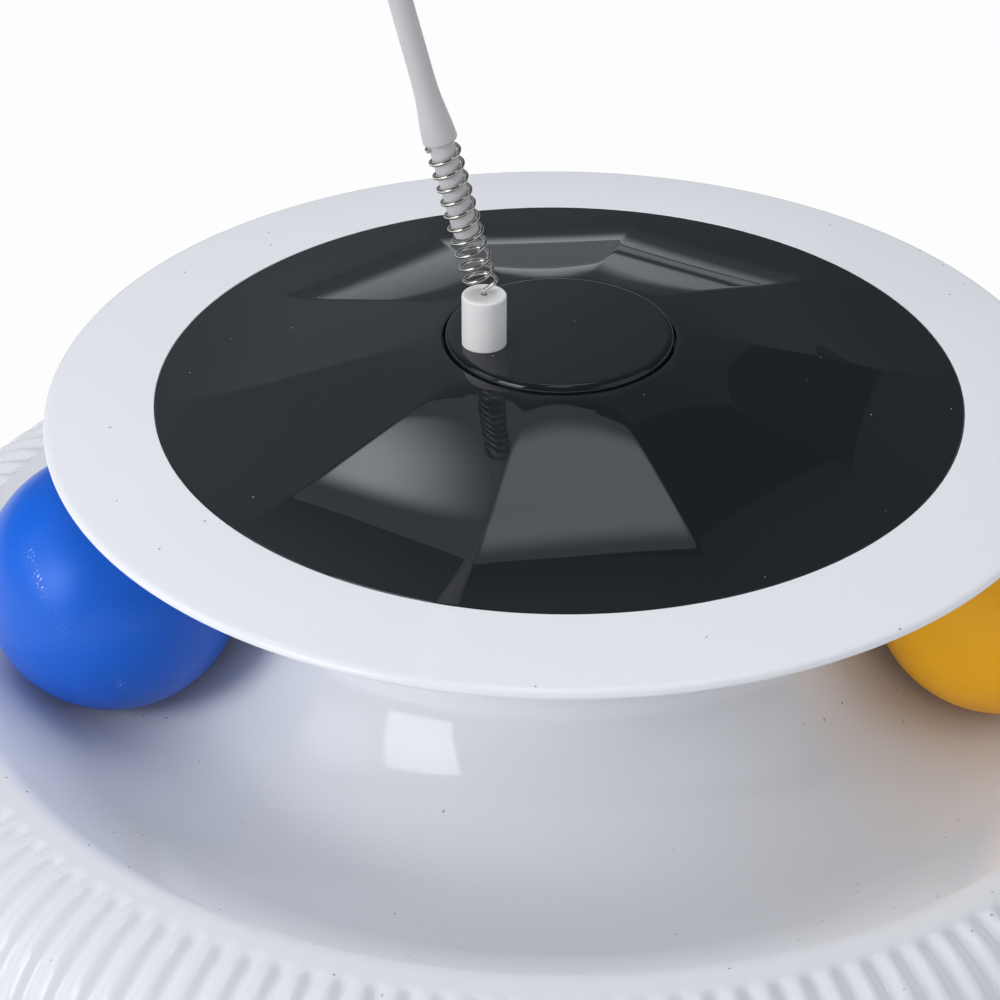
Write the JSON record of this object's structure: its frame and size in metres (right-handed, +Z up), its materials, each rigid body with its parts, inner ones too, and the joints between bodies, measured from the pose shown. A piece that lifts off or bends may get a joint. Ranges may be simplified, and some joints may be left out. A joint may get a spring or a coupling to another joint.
{
  "type": "automatic cat toy",
  "caption": "Round fluted floor toy with an open ball track under a wide lid and a motor-driven rotor that swings a spring-mounted feather wand.",
  "frame": {"origin": "on the axis of the round body, at floor level, at the bottom of the feet", "axes": "+Z up along the body's axis; -Y is the front of the picture, +X to its right"},
  "size_m": [0.2328, 0.2328, 0.3367],
  "materials": {
    "white_gloss": "gloss",
    "white_satin": "satin",
    "black_gloss": "gloss",
    "blue_ball": "fine matt",
    "yellow_ball": "fine matt",
    "spring_wire": "nickel plated",
    "steel": "bright",
    "contact_metal": "nickel plated",
    "bronze": "sintered",
    "gear_plastic": "natural",
    "drive_grey": "satin",
    "motor_steel": "zinc plated",
    "nylon_white": "natural",
    "board": "solder mask",
    "cell": "wrapped",
    "lead_sleeve": "soft sleeve",
    "foot_rubber": "matt",
    "feather": "soft"
  },
  "bodies": {
    "housing": {"body_shell": "white_gloss", "lid_flange": "white_gloss", "fascia": "black_gloss", "base_cover": "white_satin", "rubber_feet": "foot_rubber", "base_screws": "steel", "lid_screws": "steel", "gearbox_screws": "steel", "motor_screws": "steel", "board_screws": "steel", "gearbox_tray": "drive_grey", "gearbox_cover": "drive_grey", "gear_pins": "steel", "shaft_bush": "bronze", "motor_can": "motor_steel", "motor_end_cap": "nylon_white", "motor_terminals": "contact_metal", "battery_cells": "cell", "contact_springs": "contact_metal", "contact_plates": "contact_metal", "switch_body": "drive_grey", "circuit_board": "board", "motor_leads": "lead_sleeve", "battery_leads": "lead_sleeve"},
    "rotor": {"rotor_disc": "black_gloss", "wand_post": "white_satin", "output_shaft": "steel", "output_gear": "gear_plastic", "shaft_clip": "steel"},
    "spring": {"wand_spring": "spring_wire"},
    "wand": {"wand_rod": "white_satin", "lure_cap": "white_satin", "lure_feathers": "feather"},
    "second_gear": {"second_gear": "gear_plastic"},
    "first_gear": {"first_gear": "gear_plastic"},
    "motor_rotor": {"motor_shaft": "steel", "motor_pinion": "bronze"},
    "ball_blue": {"blue_ball": "blue_ball"},
    "ball_yellow": {"yellow_ball": "yellow_ball"},
    "door": {"battery_door": "white_satin", "door_screw": "steel"},
    "switch": {"switch_slider": "drive_grey"}
  },
  "joints": [
    {"name": "rotor_spin", "type": "hinge", "parent": "housing", "child": "rotor", "pos_m": [0, 0, 0.08], "axis": [0, 0, 1], "continuous": true},
    {"name": "second_gear_spin", "type": "hinge", "parent": "housing", "child": "second_gear", "pos_m": [0, 0.018, 0.0645], "axis": [0, 0, 1], "continuous": true},
    {"name": "first_gear_spin", "type": "hinge", "parent": "housing", "child": "first_gear", "pos_m": [-0.01341, 0.01275, 0.061], "axis": [0, 0, 1], "continuous": true},
    {"name": "motor_spin", "type": "hinge", "parent": "housing", "child": "motor_rotor", "pos_m": [-0.01591, -0.00144, 0.056], "axis": [0, 0, 1], "continuous": true},
    {"name": "wand_nod", "type": "hinge", "parent": "rotor", "child": "spring", "pos_m": [-0.01303, -0.0039, 0.10059], "axis": [0, 1, 0], "range_deg": [-40, 40], "stiffness_Nm_per_rad": 0.06, "deforming": ["wand_spring"]},
    {"name": "wand_sway", "type": "hinge", "parent": "spring", "child": "wand", "pos_m": [-0.01303, -0.0039, 0.10059], "axis": [0.9697, 0, 0.2445], "range_deg": [-40, 40], "stiffness_Nm_per_rad": 0.06},
    {"name": "blue_ball_roll", "type": "hinge", "parent": "housing", "child": "ball_blue", "pos_m": [0, 0, 0.0483], "axis": [0, 0, 1], "continuous": true},
    {"name": "yellow_ball_roll", "type": "hinge", "parent": "ball_blue", "child": "ball_yellow", "pos_m": [0, 0, 0.0483], "axis": [0, 0, 1], "range_deg": [-126, 166]},
    {"name": "door_off", "type": "slide", "parent": "housing", "child": "door", "axis": [0, 0, -1], "range_m": [0, 0.02]},
    {"name": "switch_slide", "type": "slide", "parent": "housing", "child": "switch", "axis": [1, 0, 0], "range_m": [0, 0.003]}
  ],
  "couplings": [
    {"joint": "second_gear_spin", "follows": "rotor_spin", "ratio": -4},
    {"joint": "first_gear_spin", "follows": "rotor_spin", "ratio": 12},
    {"joint": "motor_spin", "follows": "rotor_spin", "ratio": -36}
  ]
}
